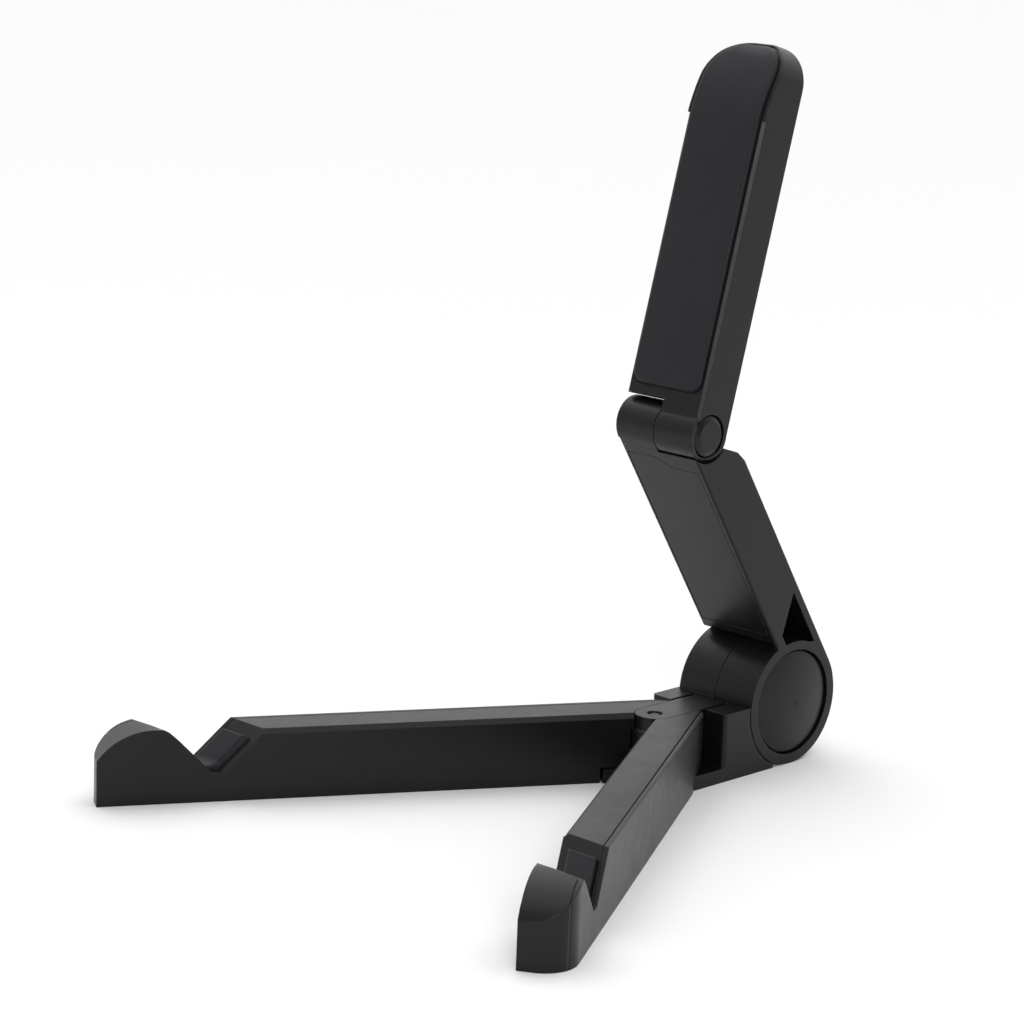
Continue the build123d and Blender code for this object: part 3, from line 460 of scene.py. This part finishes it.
FLOOR_END, HOOK_END = (HUB_Y - 135.4, NOTCH_FLOOR + NOTCH_BASE_GAP), (HUB_Y - 136.2, 8.27)
BEND_MIDDLE, BEND_END = (HUB_Y - 133.5, 8.35), (HUB_Y - 136.0, 8.58)


def wall_point(down, out):
    """(y, z) on the notch's wall, a distance down its slope and out from it."""
    a = math.atan2(LEG_H - NOTCH_FLOOR, NOTCH_TOP - NOTCH_FOOT)
    return (NOTCH_TOP - down * math.cos(a) - out * math.sin(a),
            LEG_H - down * math.sin(a) + out * math.cos(a))


def leg_point(side, across, y, z):
    """Point of a leg, a distance across from the pivot line."""
    s = (PIN_Y - y + across * math.sin(LEG_ANGLE)) / math.cos(LEG_ANGLE)
    return Vector((side * (s * math.sin(LEG_ANGLE) + across * math.cos(LEG_ANGLE)), y, z)) * MM


def mixed(first, second, share):
    return (first[0] + (second[0] - first[0]) * share, first[1] + (second[1] - first[1]) * share)


def notch_section(share):
    """(base, top) of the notch pad, from its upper end on the wall to its lower end on the hook side."""
    if share <= WALL_SHARE:
        t = share / WALL_SHARE
        return (mixed(wall_point(NOTCH_PAD_FROM, NOTCH_BASE_GAP), FOOT_BASE, t),
                mixed(wall_point(NOTCH_PAD_FROM, NOTCH_PAD_T), FOOT_TOP, t))
    t = (share - WALL_SHARE) / (1 - WALL_SHARE)
    if t < FLOOR_SHARE:
        base = mixed(FOOT_BASE, FLOOR_END, t / FLOOR_SHARE)
    else:
        base = mixed(FLOOR_END, HOOK_END, (t - FLOOR_SHARE) / (1 - FLOOR_SHARE))
    return base, mixed(mixed(FOOT_TOP, BEND_MIDDLE, t), mixed(BEND_MIDDLE, BEND_END, t), t)


def add_notch_pads():
    for side, leg in ((-1, "left"), (1, "right")):
        tops, bottoms = [], []
        for v in eased(NOTCH_ROWS):
            share = (v + 1) / 2
            base, outer = notch_section(share)
            top, bottom = [], []
            for u in eased(NOTCH_COLUMNS):
                across = (NOTCH_PAD_IN + NOTCH_PAD_OUT) / 2
                across += u * ((NOTCH_PAD_OUT - NOTCH_PAD_IN) / 2 - FACE_GAP)
                inset = min(across - NOTCH_PAD_IN, NOTCH_PAD_OUT - across, share * NOTCH_RUN,
                            (1 - share) * NOTCH_RUN)
                fill = 1 - (edge_drop(inset, NOTCH_EDGE_R) + NOTCH_CROWN * u ** 4) / NOTCH_PAD_T
                y, z = mixed(base, outer, NOTCH_RISE * fill)
                top.append(leg_point(side, across, y, z))
                bottom.append(leg_point(side, across, *base))
            tops.append(top)
            bottoms.append(bottom)
        name = f"leg_{leg}_notch_rubber"
        add_pad(name, slab_mesh(name, tops, bottoms), f"leg_{leg}", f"leg_{leg}_notch_pad")


# ---------------------------------------------------------------- carried-over CAD nodes
WELD_DISTANCE = 0.001 * MM
BEVEL_SEGMENTS = 2
BEVEL_ANGLE = math.radians(35)
BEVELS = {
    "leg_left_body": 0.25, "leg_right_body": 0.25, "leg_left_cover": 0.2, "leg_right_cover": 0.2,
    "upper_arm_shell": 0.25, "lower_arm_shell": 0.25, "base_bracket": 0.25,
}


def dress_nodes(finishes):
    """Gives each CAD node its material, and the moulded shells a small rounded edge."""
    for name, node in nodes.items():
        slot = node.material_slots[0].material.name.split(".")[0]
        node.material_slots[0].material = finishes[slot]
        if name in BEVELS:
            weld = node.modifiers.new("weld", "WELD")
            weld.merge_threshold = WELD_DISTANCE
            bevel = node.modifiers.new("bevel", "BEVEL")
            bevel.width = BEVELS[name] * MM
            bevel.segments = BEVEL_SEGMENTS
            bevel.limit_method = "ANGLE"
            bevel.angle_limit = BEVEL_ANGLE
            bevel.use_clamp_overlap = True
            bevel.miter_outer = "MITER_ARC"
            weighted = node.modifiers.new("weighted", "WEIGHTED_NORMAL")
            weighted.weight = 100


FINISHES = {
    "black_abs": moulded_abs(),
    "pad_rubber": pad_rubber(),
    "plated_steel": metal("plated_steel", (0.46, 0.46, 0.47), (0.62, 0.62, 0.63), 0.26, 0.42, 1.0),
    "dark_steel": metal("dark_steel", (0.030, 0.030, 0.032), (0.055, 0.055, 0.058), 0.34, 0.5, 0.85),
    "nylon": washer_nylon(),
}

add_camera()
add_stage()
add_world()
add_sun()
add_softbox()
dress_nodes(FINISHES)
add_arm_pad()
add_notch_pads()

bpy.context.scene.view_settings.view_transform = "Standard"
